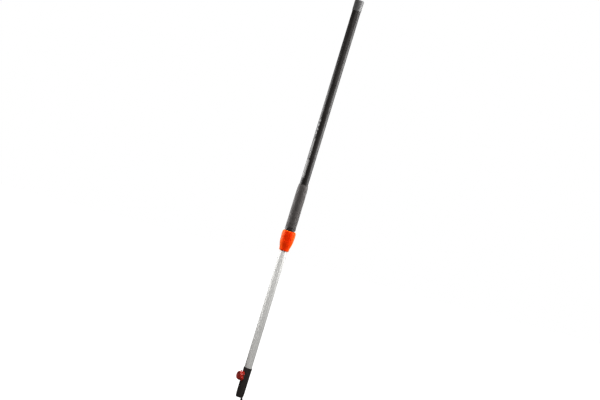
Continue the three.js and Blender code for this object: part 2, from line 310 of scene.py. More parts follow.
def turned(angle, axis="Z", place=(0, 0, 0)):
    """The placement that turns a shape about an axis through the origin and then moves it."""
    return Matrix.Translation(place) @ Matrix.Rotation(angle, 4, axis)


def pointing(angle, height=0.0):
    """Turns a shape made along +Z so that it points out from the pole at an angle and height."""
    return turned(angle, place=(0, 0, height)) @ turned(pi / 2, "Y")


ALONG_SCREW = pointing(0, knob.middle.z)
ALONG_AXLE = turned(pi / 2, "X", (catch_pin.middle.x, 0, catch_pin.middle.z))


def thread(start, end, lead, starts, depth, run_out=1.5):
    """A screw thread as a change of radius: full depth between the crests, none at the crests."""
    def change(height, angle):
        turns = height * starts / lead - angle * starts / TURN
        flank = abs(2 * (turns % 1) - 1)
        ends = ease(height, start, start + run_out) * (1 - ease(height, end - run_out, end))
        return depth * ends * ease(flank, 0.2, 0.8)
    return change


# ---- materials ----

class Paint:
    """Builds the node tree of one material, step by step. Texture sizes are in millimetres."""

    def __init__(self, name, colour, roughness, metallic=0.0, specular=0.5):
        self.material = bpy.data.materials.new(name)
        self.material.use_nodes = True
        self.tree = self.material.node_tree
        self.shader = self.tree.nodes["Principled BSDF"]
        self.set("Base Color", (*colour, 1))
        self.set("Roughness", roughness)
        self.set("Metallic", metallic)
        self.set("Specular IOR Level", specular)
        self.place = self.node("ShaderNodeTexCoord", "Object", {})
        self.colour = colour
        self.base = (*colour, 1)
        self.height = None

    def set(self, socket, value):
        """Sets a number or colour that is the same all over the surface."""
        self.shader.inputs[socket].default_value = value

    def node(self, kind, output, sockets, **settings):
        """Adds a node, sets or links its sockets, and gives one of its outputs."""
        made = self.tree.nodes.new(kind)
        for name, value in settings.items():
            setattr(made, name, value)
        for name, value in sockets.items():
            if isinstance(value, bpy.types.NodeSocket):
                self.tree.links.new(value, made.inputs[name])
            else:
                made.inputs[name].default_value = value
        return made.outputs[output]

    def link(self, value, socket):
        """Lets a value over the surface drive one of the shader's sockets."""
        self.tree.links.new(value, self.shader.inputs[socket])

    def noise(self, size, stretch=1.0, detail=3.0, roughness=0.55):
        """Cloudy noise whose features are about size across, drawn out along the pole."""
        vector = self.node("ShaderNodeMapping", "Vector", {
            "Vector": self.place, "Scale": (1, 1, 1 / stretch)})
        return self.node("ShaderNodeTexNoise", "Fac", {
            "Vector": vector, "Scale": 1 / (size * MM), "Detail": detail, "Roughness": roughness})

    def cells(self, size):
        """Distance to the nearest point of a cell pattern: a leathery or sandblasted grain."""
        return self.node("ShaderNodeTexVoronoi", "Distance", {
            "Vector": self.place, "Scale": 1 / (size * MM)}, feature="SMOOTH_F1")

    def ranged(self, value, from_low, from_high, to_low=0.0, to_high=1.0):
        """A smooth rise from to_low to to_high as value goes from from_low to from_high."""
        return self.node("ShaderNodeMapRange", "Result", {
            "Value": value, "From Min": from_low, "From Max": from_high, "To Min": to_low,
            "To Max": to_high}, interpolation_type="SMOOTHSTEP")

    def combined(self, operation, first, second):
        return self.node("ShaderNodeMath", "Value", {0: first, 1: second}, operation=operation)

    def tint(self, amount, colour):
        """Mixes the colour in where amount, a value over the surface, is high."""
        self.base = self.node("ShaderNodeMix", "Result", {
            "Factor": amount, "A": self.base, "B": (*colour, 1)}, data_type="RGBA")
        self.link(self.base, "Base Color")

    def patches(self, value, low, high, amount, colour):
        """Mixes the colour in, up to that amount, as value goes from low to high."""
        self.tint(self.combined("MULTIPLY", self.ranged(value, low, high), amount), colour)

    def mottle(self, size, strength, stretch=1.0):
        """Slow changes of lightness over the surface."""
        lighter = [min(1.0, c * (1 + strength) + 0.02 * strength) for c in self.colour]
        self.tint(self.ranged(self.noise(size, stretch), 0.35, 0.7), lighter)

    def vary_roughness(self, value, low, high):
        """Sets the roughness between low and high as value goes from 0.3 to 0.7."""
        self.link(self.ranged(value, 0.3, 0.7, low, high), "Roughness")

    def relief(self, value, depth):
        """Adds a height, in millimetres, to the surface."""
        raised = self.combined("MULTIPLY", value, depth * MM)
        self.height = self.combined("ADD", self.height, raised) if self.height else raised

    def grain(self, size, depth, detail=3.0):
        self.relief(self.noise(size, detail=detail), depth)

    def worn_edges(self, colour, amount):
        """Lightens the outer edges, where handling rubs the surface."""
        pointed = self.node("ShaderNodeNewGeometry", "Pointiness", {})
        patchy = self.ranged(self.noise(3.0), 0.4, 0.65)
        edges = self.combined("MULTIPLY", self.ranged(pointed, 0.52, 0.6), patchy)
        self.tint(self.combined("MULTIPLY", edges, amount), colour)

    def done(self):
        """Joins the relief to the shader and returns the material."""
        if self.height:
            bump = self.node("ShaderNodeBump", "Normal", {"Height": self.height, "Distance": 1.0})
            self.link(bump, "Normal")
        return self.material


def black_tube_finish():
    """Matt black anodised aluminium with faint drawing lines and handling scuffs."""
    paint = Paint("black_anodised_tube", (0.0105, 0.0088, 0.0080), 0.42, specular=0.15)
    lines = paint.noise(0.5, 160, detail=2)
    scuffs = paint.noise(9, 2.5, detail=6, roughness=0.7)
    paint.mottle(22, 0.25, 4)
    paint.patches(scuffs, 0.62, 0.78, 0.25, (0.05, 0.046, 0.044))
    paint.vary_roughness(scuffs, 0.36, 0.5)
    paint.relief(lines, 0.006)
    paint.grain(0.25, 0.004, 2)
    return paint.done()


def silver_tube_finish():
    """Satin natural anodised aluminium with extrusion lines and light sliding marks."""
    paint = Paint("silver_anodised_tube", (0.66, 0.655, 0.635), 0.5, metallic=0.15)
    lines = paint.noise(0.45, 220)
    slides = paint.noise(1.4, 60, detail=4)
    paint.mottle(30, 0.06, 5)
    paint.patches(slides, 0.6, 0.75, 0.35, (0.56, 0.55, 0.53))
    paint.vary_roughness(lines, 0.44, 0.56)
    paint.relief(lines, 0.008)
    paint.grain(0.18, 0.003, 2)
    return paint.done()


def rubber_finish():
    """Grey soft-touch rubber with a leathery grain and rubbed, dusty patches."""
    paint = Paint("grip_rubber", (0.042, 0.037, 0.035), 0.7, specular=0.25)
    paint.set("Sheen Weight", 0.12)
    paint.set("Sheen Roughness", 0.45)
    rubbed = paint.noise(14, 1.6, detail=5)
    paint.mottle(9, 0.18)
    paint.patches(rubbed, 0.55, 0.75, 0.35, (0.062, 0.056, 0.053))
    paint.vary_roughness(rubbed, 0.62, 0.8)
    paint.relief(paint.cells(0.9), 0.05)
    paint.grain(0.3, 0.02)
    return paint.done()


def cap_finish():
    """Dark grey moulded plastic with a spark-eroded texture."""
    paint = Paint("cap_plastic", (0.048, 0.0465, 0.0455), 0.5, specular=0.4)
    paint.mottle(8, 0.15)
    paint.worn_edges((0.17, 0.165, 0.16), 0.5)
    paint.vary_roughness(paint.noise(5, detail=4), 0.45, 0.58)
    paint.relief(paint.cells(0.45), 0.018)
    paint.grain(0.2, 0.01)
    return paint.done()


def head_finish():
    """Black glass-filled nylon: fine grain, faint flow marks and paler rubbed edges."""
    paint = Paint("head_nylon", (0.0135, 0.0100, 0.0085), 0.42, specular=0.35)
    flow = paint.noise(7, 5, detail=5)
    paint.mottle(6, 0.2, 3)
    paint.worn_edges((0.06, 0.056, 0.052), 0.6)
    paint.vary_roughness(flow, 0.36, 0.52)
    paint.relief(paint.cells(0.5), 0.014)
    paint.grain(0.22, 0.008)
    return paint.done()


def inner_plastic_finish():
    """Natural white acetal of the hidden sliding pieces, with a waxy surface."""
    paint = Paint("natural_acetal", (0.68, 0.65, 0.56), 0.4)
    paint.set("Subsurface Weight", 0.15)
    paint.set("Subsurface Scale", 1.5 * MM)
    smears = paint.noise(4, 3, detail=4)
    paint.patches(smears, 0.55, 0.75, 0.5, (0.5, 0.48, 0.42))
    paint.vary_roughness(smears, 0.34, 0.5)
    paint.grain(0.3, 0.008)
    return paint.done()


def coloured_plastic(name, colour, deep, pale, roughness, specular, gleam, sheen=0.0):
    """Glossy moulded plastic: deeper patches, orange peel, rubbed pale edges and a tinted gleam."""
    paint = Paint(name, colour, roughness, specular=specular)
    paint.set("Specular Tint", (*gleam, 1))
    paint.set("Sheen Weight", sheen)
    paint.set("Sheen Roughness", 0.45)
    paint.set("Sheen Tint", (*gleam, 1))
    paint.patches(paint.noise(12), 0.45, 0.75, 0.6, deep)
    paint.worn_edges(pale, 0.35)
    paint.vary_roughness(paint.noise(3, detail=5), roughness - 0.06, roughness + 0.09)
    paint.grain(0.8, 0.012, 2)
    paint.grain(0.2, 0.004, 2)
    return paint.done()


def bare_metal(name, colour, roughness, stained):
    """Turned metal: fine tool marks, darker stains and a little wear."""
    paint = Paint(name, colour, roughness, metallic=1.0)
    stains = paint.noise(1.6, detail=5)
    paint.patches(stains, 0.52, 0.72, 0.6, stained)
    paint.vary_roughness(stains, roughness - 0.06, roughness + 0.14)
    paint.grain(0.12, 0.004, 2)
    return paint.done()


def seal_finish():
    """Soft black rubber of the wiper seal."""
    paint = Paint("seal_rubber", (0.012, 0.012, 0.012), 0.62, specular=0.35)
    dust = paint.noise(2.5, detail=5)
    paint.patches(dust, 0.55, 0.7, 0.5, (0.05, 0.05, 0.048))
    paint.vary_roughness(dust, 0.55, 0.75)
    paint.grain(0.3, 0.015)
    return paint.done()


def print_finish():
    """Grey pad-printed ink, paler than the tube and rubbed thin in places."""
    paint = Paint("pale_grey_print", (0.13, 0.126, 0.122), 0.5, specular=0.3)
    rubbed = paint.noise(1.2, 2, detail=5)
    paint.patches(rubbed, 0.55, 0.7, 0.45, (0.08, 0.077, 0.074))
    paint.vary_roughness(rubbed, 0.42, 0.6)
    paint.grain(0.25, 0.004, 2)
    return paint.done()


FINISHES = {
    "tube_black": black_tube_finish(),
    "tube_silver": silver_tube_finish(),
    "grip_rubber": rubber_finish(),
    "cap_grey": cap_finish(),
    "head_black": head_finish(),
    "inner_plastic": inner_plastic_finish(),
    "collar_orange": coloured_plastic(
        "collar_plastic", (0.78, 0.018, 0.001), deep=(0.68, 0.012, 0.0008), pale=(0.9, 0.12, 0.01),
        roughness=0.36, specular=0.12, gleam=(1, 0.6, 0.02), sheen=1.0),
    "knob_red": coloured_plastic(
        "knob_plastic", (0.42, 0.012, 0.003), deep=(0.3, 0.008, 0.0025), pale=(0.7, 0.12, 0.07),
        roughness=0.26, specular=0.5, gleam=(1, 0.85, 0.8)),
    "steel": bare_metal("zinc_plated_steel", (0.58, 0.58, 0.57), 0.3, (0.36, 0.35, 0.33)),
    "brass": bare_metal("brass", (0.72, 0.52, 0.22), 0.32, (0.42, 0.28, 0.11)),
    "seal_rubber": seal_finish(),
}


def settle(piece, body, slot, *nodes, sharp=40, finish=None):
    """Shades a piece, gives it its finish and lets it stand for its CAD nodes on their body."""
    piece.data.shade_smooth()
    piece.data.set_sharp_from_angle(angle=radians(sharp))
    piece.data.materials.clear()
    piece.data.materials.append(finish or FINISHES[slot])
    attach(piece, body)
    if nodes:
        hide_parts(*nodes)
    return piece


# ---- handle: outer tube, end cap, grip and collet ----

def tube_outline(node):
    """The outline of an aluminium tube, with its cut ends deburred."""
    edge = 0.2
    wide, bore = node.radius, node.radius - WALL
    return rounded([(bore, node.bottom, edge), (wide, node.bottom, edge), (wide, node.top, edge),
                    (bore, node.top, edge)], 2)


def build_outer_tube():
    tube = lathe("black_outer_tube", tube_outline(outer_tube), 128)
    hole_r = RIVET_R + 0.25
    pins = (stop_pin, *collet_rivets)
    holes = [rod(hole_r, TUBE_BORE - 1, OUTER_R + 1, pin.outward()) for pin in pins]
    settle(carved(tube, *holes), "handle", "tube_black", "outer_tube")


def build_end_cap():
    """A push-on cap with a domed edge, a shallow dish on top and a ribbed plug inside the tube."""
    top, wide = end_cap.top, end_cap.radius
    lip = top - 34
    roof = top - 6
    slot_r = OUTER_R + GAP
    plug_r = TUBE_BORE - GAP
    ring_r = wide - 0.35
    dish_r = 8.6
    rib_count, rib_depth = 12, 0.5
    outline = refined(rounded([
        (0, end_cap.bottom), (plug_r, end_cap.bottom, 1.4), (plug_r, roof, 0.3), (slot_r, roof, 0.3),
        (slot_r, lip, 0.12), (wide - 0.1, lip, 0.35), (wide, lip + 1.6, 0.3), (ring_r, lip + 2.1, 0.2),
        (ring_r, lip + 2.9, 0.2), (wide, lip + 3.4, 0.3), (wide, top, 4.4), (dish_r, top, 0.5),
        (dish_r - 0.7, top - 0.6, 0.4), (1.6, top - 0.8, 0.2), (1.4, top - 0.5, 0.2),
        (0, top - 0.5)], 5), 3.0, closed=False)

    def ribbed(radius, height, angle):
        on_plug = height < lip + 20 and abs(radius - plug_r) < 0.05
        return radius - (rib_depth * ease(wave(angle * rib_count), 0.2, 0.8) if on_plug else 0), height

    settle(lathe("end_cap_plastic", outline, 120, ribbed), "handle", "cap_grey", "end_cap")


SKIRT_R = 14.9  # the collet's skirt, inside the grip
FINGER_TIP_R = 12.9
COLLET_THREAD_R = 15.0
COLLET_LEAD = 6.0
COLLET_STARTS = 2


def build_hand_grip():
    """A moulded sleeve with two shallow rings below, a step above and a tapered upper mouth."""
    bottom, top, wide = hand_grip.bottom, hand_grip.top, hand_grip.radius
    tube_r = OUTER_R + GAP
    skirt_r = SKIRT_R + GAP
    skirt_top = collet.top + GAP
    pocket_r, pocket_half = 14.3, 4
    pin_z = stop_pin.middle.z
    groove_r = wide - 0.4
    lower = [(15.7, bottom), (wide, bottom + 2)]
    for ring in range(2):
        low = bottom + 5 + 3.4 * ring
        lower += [(wide, low), (groove_r, low + 0.5), (groove_r, low + 1.1), (wide, low + 1.6)]
    upper = [(wide, bottom + 16), (16.2, top - 52), (16.05, top - 30)]
    step = [(16.0, top - 19), (15.6, top - 18.4), (15.6, top - 17.4), (15.9, top - 16.6)]
    mouth = [(15.4, top - 9), (14.8, top - 3.4), (13.95, top - 0.2)]
    stretches = ((lower, 0.25), (upper, 0.6), (step, 0.25), (mouth, 0.8))
    outside = [(*point, fillet) for points, fillet in stretches for point in points]
    inside = [(tube_r, top), (tube_r, pin_z + pocket_half), (pocket_r, pin_z + pocket_half),
              (pocket_r, pin_z - pocket_half), (tube_r, pin_z - pocket_half), (tube_r, skirt_top),
              (skirt_r, skirt_top)]
    outline = refined(rounded([(skirt_r, bottom), *outside, *inside], 3), 6.0)
    settle(lathe("hand_grip_rubber", outline, 128), "handle", "grip_rubber", "hand_grip")


FLANGE_BOTTOM = hand_grip.bottom - 8
FLANGE_TOP = hand_grip.bottom - GAP
FINGER_ROOT = collet.bottom + 22
COLLET_STEP = outer_tube.bottom - GAP


def build_collet_body():
    """The clamp's inner body: skirt in the grip, notched flange, two-start thread and six fingers."""
    tube_r = OUTER_R + GAP
    flange_r = collet.radius
    notch_count, notch_depth = 48, 0.3
    corners = [
        (SLIDE_BORE, collet.bottom, 0.3), (FINGER_TIP_R, collet.bottom, 0.4),
        (FINGER_TIP_R + 1, FINGER_ROOT, 0.3), (COLLET_THREAD_R, FINGER_ROOT, 0.5),
        (COLLET_THREAD_R, FLANGE_BOTTOM, 0.3), (flange_r - 0.7, FLANGE_BOTTOM, 0.3),
        (flange_r, FLANGE_BOTTOM + 0.9, 0.4), (flange_r, FLANGE_TOP, 0.25), (SKIRT_R, FLANGE_TOP),
        (SKIRT_R, collet.top, 0.4), (tube_r, collet.top, 0.3), (tube_r, COLLET_STEP),
        (SLIDE_BORE, COLLET_STEP, 0.3)]
    cut = thread(FINGER_ROOT, FLANGE_BOTTOM, COLLET_LEAD, COLLET_STARTS, 0.75)

    def shaped(radius, height, angle):
        if radius > COLLET_THREAD_R - 0.4 and FINGER_ROOT < height < FLANGE_BOTTOM:
            radius -= cut(height, angle)
        if radius > flange_r - 0.3 and FLANGE_BOTTOM < height < FLANGE_TOP:
            notch = ease(wave(angle * notch_count), 0.35, 0.85)
            notch *= ease(height, FLANGE_BOTTOM + 1, FLANGE_BOTTOM + 2.2)
            radius -= notch_depth * notch * (1 - ease(height, FLANGE_TOP - 1.8, FLANGE_TOP - 0.8))
        return radius, height

    body = lathe("collet_body_plastic", refined(rounded(corners, 3), 0.5), 192, shaped)
    key = block((10.7, -1.5, FINGER_ROOT + 3), (12.4, 1.5, COLLET_STEP - 2), turned(GROOVE_ANGLE))
    slits = [block((-20, -1, collet.bottom - 1), (20, 1, FINGER_ROOT + 1),
                   turned(GROOVE_ANGLE + radians(turn))) for turn in (30, 90, 150)]
    holes = [rod(RIVET_R + GAP, 11, 17, pin.outward()) for pin in collet_rivets]
    settle(carved(joined(body, key), *slits, *holes), "handle", "head_black", "collet_body")


def build_stop_pin():
    """A headed pin whose end runs in the inner tube's groove."""
    low, face = 10.7, OUTER_R + GAP
    head_r, head_height = 2.6, 0.7
    outline = rounded([
        (0, low), (PIN_R, low, 0.3), (PIN_R, face, 0.1), (head_r, face, 0.15),
        (head_r - 0.15, face + 0.45, 0.3), (1.2, face + head_height, 0.3), (0, face + head_height)])
    pin = lathe("stop_pin_steel", outline, 40, placement=stop_pin.outward())
    settle(pin, "handle", "steel", "stop_pin")


def build_collet_rivets():
    low, high = 12.1, 14.8
    for rivet in collet_rivets:
        outline = rounded([
            (0, low), (RIVET_R, low, 0.25), (RIVET_R, high - 0.3, 0.15), (1.2, high, 0.2),
            (0.7, high - 0.05, 0.1), (0.5, high - 0.4, 0.1), (0, high - 0.45)])
        made = lathe(f"{rivet.name}_steel", outline, 36, placement=rivet.outward())
        settle(made, "handle", "steel", rivet.name)


# ---- twist collar with its wedge ring and seal ----

FLUTE_COUNT = 5
FLUTE_ANGLE = radians(232)
FLUTE_HALF = 8.0  # half a flute's width
FLUTE_BOTTOM = collar.bottom + 30
FLUTE_LENGTH = 19.0
FLUTE_FLOOR_R = 19.0  # at the flute's lower end
FLUTE_FLOOR_RISE = 1.3  # how much further out it is at the upper end
COLLAR_SEAT = collar.bottom + 11
COLLAR_MOUTH_R = 12.3
SEAL_GROOVE_R = 14.1


def flute_depth(radius, height, angle):
    """How deep the nearest finger flute is at a point of the collar's outside."""
    spacing = TURN / FLUTE_COUNT
    offset = (angle - FLUTE_ANGLE + spacing / 2) % spacing - spacing / 2
    across = abs(radius * sin(offset))
    below = FLUTE_BOTTOM + FLUTE_HALF - height
    from_middle = hypot(across, below) if below > 0 else across
    share = min(1.0, max(0.0, (height - FLUTE_BOTTOM) / FLUTE_LENGTH))
    floor = FLUTE_FLOOR_R + FLUTE_FLOOR_RISE * share
    wall = 1 - ease(from_middle, FLUTE_HALF - 1.0, FLUTE_HALF + 0.4)
    return max(0.0, radius - floor) * wall


def build_twist_collar():
    """The tapered orange collar: five U-ended flutes outside, a two-start thread inside."""
    bottom, top = collar.bottom, collar.top
    profile = [(15.1, 3.0), (15.4, 7), (16.1, 11), (17.4, 15.5), (18.9, 22), (20, 29), (20.7, 37),
               (21.2, 47), (21.1, 53), (20.6, 57), (19.4, 60)]
    outside = curve_through([Vector((r, bottom + h)) for r, h in profile], 8)
    thread_r = COLLET_THREAD_R + 0.35
    mouth_rim = rounded([(COLLAR_MOUTH_R + 0.3, bottom), (13.2, bottom), (14.1, bottom + 0.4),
                         (14.8, bottom + 1.3)])
    top_rim = rounded([(18.2, top - 0.5), (16.9, top), (thread_r + 0.5, top), (thread_r, top - 0.5)])
    inside = rounded([
        (thread_r, COLLAR_SEAT, 0.3), (COLLAR_MOUTH_R, COLLAR_SEAT, 0.3),
        (COLLAR_MOUTH_R, seal.top + GAP, 0.1), (SEAL_GROOVE_R, seal.top + GAP, 0.1),
        (SEAL_GROOVE_R, seal.bottom - GAP, 0.1), (COLLAR_MOUTH_R, seal.bottom - GAP, 0.1),
        (COLLAR_MOUTH_R, bottom + 0.3)], 2)
    outline = refined([*mouth_rim, *outside, *top_rim, *inside], 0.7)
    cut = thread(COLLAR_SEAT + 18, top - 1, COLLET_LEAD, COLLET_STARTS, 0.6)

    def shaped(radius, height, angle):
        if radius > 17:
            return radius - flute_depth(radius, height, angle), height
        inner_wall = abs(radius - thread_r) < 0.01
        return radius + (cut(height, angle) if inner_wall else 0), height

    made = lathe("twist_collar_plastic", outline, 300, shaped)
    settle(made, "collar", "collar_orange", "twist_collar", sharp=50)


def build_wedge_ring():
    """The acetal ring that presses the fingers in: its bore is tapered, narrow end down."""
    low_r = FINGER_TIP_R + 2 * GAP
    outline = refined(rounded([
        (low_r, wedge.bottom, 0.3), (wedge.radius, wedge.bottom, 0.4), (wedge.radius, wedge.top, 0.25),
        (14.2, wedge.top, 0.2)], 3), 1.5)
    settle(lathe("wedge_ring_acetal", outline, 96), "clamp_ring", "inner_plastic", "wedge_ring")


def build_wiper_seal():
    """A rubber ring with two lips that wipe the inner tube."""
    lip = seal.low.z + 0.6
    inner = SLIDE_BORE - 0.05
    outline = rounded([
        (inner + 0.9, seal.bottom, 0.3), (seal.radius, seal.bottom, 0.3), (seal.radius, seal.top, 0.3),
        (inner + 0.9, seal.top, 0.3), (inner, seal.top - 0.6, 0.25), (inner + 0.8, seal.middle.z, 0.4),
        (inner, lip, 0.25)])
    settle(lathe("wiper_seal_rubber", outline, 96), "collar", "seal_rubber", "wiper_seal")


# ---- sliding pole: inner tube with its guide bush ----

GROOVE_HALF = 2.0
GROOVE_DEPTH = 1.2
SPIGOT_R = 9.0  # of the bush and of the head, inside the inner tube


def groove_angles(base=96):
    """Angles round the inner tube, closer together at the walls of its groove."""
    edge = GROOVE_HALF / INNER_R
    near = [GROOVE_ANGLE + side * edge * (1 + 0.05 * step)
            for side in (-1, 1) for step in range(-4, 5)]
    plain = [a for a in even_angles(base) if abs(away_from(a, GROOVE_ANGLE)) > edge * 1.3]
    middle = [GROOVE_ANGLE + edge * share for share in (-0.6, -0.3, 0, 0.3, 0.6)]
    return sorted(a % TURN for a in (*near, *plain, *middle))


def build_inner_tube():
    """A drawn tube whose wall is folded in to a key groove along its whole length."""
    def grooved(radius, height, angle):
        across = INNER_R * abs(away_from(angle, GROOVE_ANGLE))
        return radius - GROOVE_DEPTH * (1 - ease(across, GROOVE_HALF - 0.3, GROOVE_HALF + 0.2)), height

    tube = lathe("silver_inner_tube", tube_outline(inner_tube), groove_angles(), grooved)
    pin_hole = rod(PIN_R + GAP, -15, 15, pointing(0, bush_pin.middle.z))
    rivet_hole = rod(RIVET_R + GAP, 5, 15, head_rivet.outward())
    settle(carved(tube, pin_hole, rivet_hole), "pole", "tube_silver", "inner_tube")


def build_guide_bush():
    """A plug in the inner tube, with a grooved head that runs in the outer tube."""
    bottom, top, rim = guide_bush.bottom, guide_bush.top, guide_bush.radius
    shoulder = inner_tube.top + GAP
    groove_r, groove_bottom, groove_top = 10.2, guide_ring.bottom - GAP, guide_ring.top + GAP
    dish_r, dish_floor = 6.0, top - 3
    outline = rounded([
        (0, bottom), (SPIGOT_R, bottom, 1.2), (SPIGOT_R, shoulder, 0.2), (rim, shoulder, 0.3),
        (rim, groove_bottom, 0.2), (groove_r, groove_bottom, 0.2), (groove_r, groove_top, 0.2),
        (rim, groove_top, 0.2), (rim, top, 0.9), (dish_r, top, 0.4), (dish_r - 0.8, dish_floor, 0.4),
        (0, dish_floor)])
    bush = lathe("guide_bush_acetal", outline, 96)
    made = carved(bush, rod(PIN_R + GAP, -12, 12, pointing(0, bush_pin.middle.z)))
    settle(made, "pole", "inner_plastic", "guide_bush")


def build_guide_ring():
    """A split ring that springs out against the outer tube."""
    inner, outer = 10.5, 11.85
    low, high = guide_ring.bottom, guide_ring.top
    outline = rounded([(inner, low, 0.2), (outer, low, 0.4), (outer, high, 0.4), (inner, high, 0.2)])
    split = block((0, -1, low - 2), (15, 1, high + 2), turned(radians(45)))
    made = carved(lathe("guide_ring_acetal", outline, 96), split)
    settle(made, "pole", "inner_plastic", "guide_ring")


def build_cross_pin(node, radius, end, fillet, segments, placement):
    """A plain pin across the pole, with softened ends."""
    outline = rounded([(0, -end), (radius, -end, fillet), (radius, end, fillet), (0, end)])
    pin = lathe(f"{node.name}_steel", outline, segments, placement=placement)
    settle(pin, "pole", "steel", node.name)


# ---- tool head: socket, clamp screw and safety catch ----

SOCKET_R = 8.0
SOCKET_TOP = head.bottom + 70
HEAD_RIM = head.bottom + 94
TUBE_SEAT = HEAD_RIM - 21
SCOOP_R = 35.3
SCOOP_FLOOR = 10.6
SCOOP_Z = head.bottom + 59
BOSS_R = 8.0
RIM_WAVE = 1.6  # how far the head's rim dips on its front and back


def build_tool_head():
    """The moulded head: a waved rim round the tube, a screw boss, a thumb scoop and a socket."""
    bottom, top, rim = head.bottom, head.top, HEAD_RIM
    socket_r = INNER_R + GAP
    wall_r = head.radius
    root = -8  # the boss runs in this far, well inside the wall
    corners = [
        (0, SOCKET_TOP), (SOCKET_R, SOCKET_TOP, 0.5), (SOCKET_R, bottom + 0.8),
        (SOCKET_R + 0.8, bottom), (9.9, bottom, 0.4), (11.2, bottom + 1.8, 0.9),
        (12.1, bottom + 7, 1.5), (12.6, bottom + 14, 1.5), (12.7, SOCKET_TOP, 1.5),
        (12.9, rim - 9, 1), (wall_r, rim - 4), (wall_r, rim - 0.8), (wall_r - 0.4, rim),
        (socket_r + 0.2, rim), (socket_r, rim - 0.4), (socket_r, TUBE_SEAT), (SPIGOT_R, TUBE_SEAT),
        (SPIGOT_R, top - 1.5, 0.3), (SPIGOT_R - 1.4, top, 0.3), (0, top)]

    def waved(radius, height, angle):
        dip = RIM_WAVE * (1 - wave(2 * angle))
        share = ease(height, rim - 8, rim - 0.5) if radius > socket_r - 0.01 else 0
        return radius, height - dip * share

    outline = refined(rounded(corners, 4), 2.5, closed=False)
    shell = lathe("tool_head_nylon", outline, 120, waved)
    boss = rod(BOSS_R, head.low.x, root, ALONG_SCREW, 64)
    boss_foot = rod(BOSS_R + 1.4, -12.9, root, ALONG_SCREW, 64)
    tube_slot = lathe("tool", [(SPIGOT_R, TUBE_SEAT), (socket_r, TUBE_SEAT), (socket_r, rim + 1),
                               (SPIGOT_R, rim + 1)], 120)
    across = turned(pi / 2, "X", (SCOOP_FLOOR + SCOOP_R, 0, SCOOP_Z))
    thumb_scoop = rod(SCOOP_R, -20, 20, across, 160)
    catch_slot = block((6, -3.8, bottom - 1), (11.3, 3.8, SOCKET_TOP + 1))
    made = carved(
        joined(shell, boss, boss_foot),
        rod(SOCKET_R, bottom - 1, SOCKET_TOP, segments=96),
        tube_slot,
        rod(insert.radius + GAP, -20, -4, ALONG_SCREW, 48),
        thumb_scoop,
        catch_slot,
        rod(AXLE_R + GAP, -14, 14, ALONG_AXLE),
        rod(RIVET_R + GAP, 6, 15, head_rivet.outward()))
    moulded(made, voxel=0.47, passes=3)
    settle(made, "pole", "head_black", "tool_head", sharp=70)


def build_head_rivet():
    low, face = 6.3, 13.3
    dome = face + 0.9
    outline = rounded([
        (0, low), (RIVET_R, low, 0.3), (RIVET_R, face, 0.1), (2.8, face, 0.15),
        (2.6, face + 0.45, 0.35), (1.3, dome, 0.5), (0, dome)])
    rivet = lathe("head_rivet_steel", outline, 40, placement=head_rivet.outward())
    settle(rivet, "pole", "steel", "head_rivet")


def build_threaded_insert():
    """A brass insert: straight knurl with a plain middle band outside, thread inside."""
    bore = SCREW_R + GAP
    low, high, wide = insert.low.x, insert.high.x, insert.radius
    knurl_count, knurl_depth = 36, 0.3
    outline = refined(rounded([
        (bore, low, 0.3), (wide, low, 0.4), (wide, high, 0.4), (bore, high, 0.3)], 2), 0.2)
    cut = thread(low, high, SCREW_LEAD, 1, 0.4, 0.5)

    def shaped(radius, height, angle):
        if radius > wide - 0.01:
            away = ease(abs(height - (low + high) / 2), 0.4, 0.8)
            return radius - knurl_depth * away * ease(wave(angle * knurl_count), 0.3, 0.9), height
        on_bore = abs(radius - bore) < 0.01
        return radius + (cut(height, angle) if on_bore else 0), height

    made = lathe("threaded_insert_brass", outline, 180, shaped, ALONG_SCREW)
    settle(made, "pole", "brass", "threaded_insert", sharp=50)


def build_clamp_pad():
    """A round pad with a blind hole for the screw's nose."""
    back, face = pad.low.x, pad.high.x
    hole_r, hole_end = NOSE_R + GAP, back + 2.1
    outline = rounded([
        (0, hole_end), (hole_r, hole_end, 0.2), (hole_r, back, 0.2), (pad.radius, back, 0.3),
        (pad.radius, face, 0.7), (1.8, face, 0.3), (1.2, face - 0.4, 0.2), (0, face - 0.4)])
    made = lathe("clamp_pad_acetal", outline, 64, placement=ALONG_SCREW)
    settle(made, "pad", "inner_plastic", "clamp_pad")


def build_clamp_stud():
    """The screw: an M8 thread, a reduced nose for the pad and a plain end moulded into the knob."""
    end, tip = stud.low.x, stud.high.x
    thread_end = pad.low.x - GAP
    outline = refined(rounded([
        (0, end), (SCREW_R, end, 0.5), (SCREW_R, thread_end, 0.5), (NOSE_R, thread_end, 0.2),
        (NOSE_R, tip, 0.4), (0, tip)], 3), 0.2, closed=False)
    cut = thread(knob.high.x - 3, thread_end, SCREW_LEAD, 1, 0.62, 0.8)

    def shaped(radius, height, angle):
        return radius - (cut(height, angle) if radius > SCREW_R - 0.01 else 0), height

    made = lathe("clamp_stud_steel", outline, 64, shaped, ALONG_SCREW)
    settle(made, "clamp_screw", "steel", "clamp_stud", sharp=60)


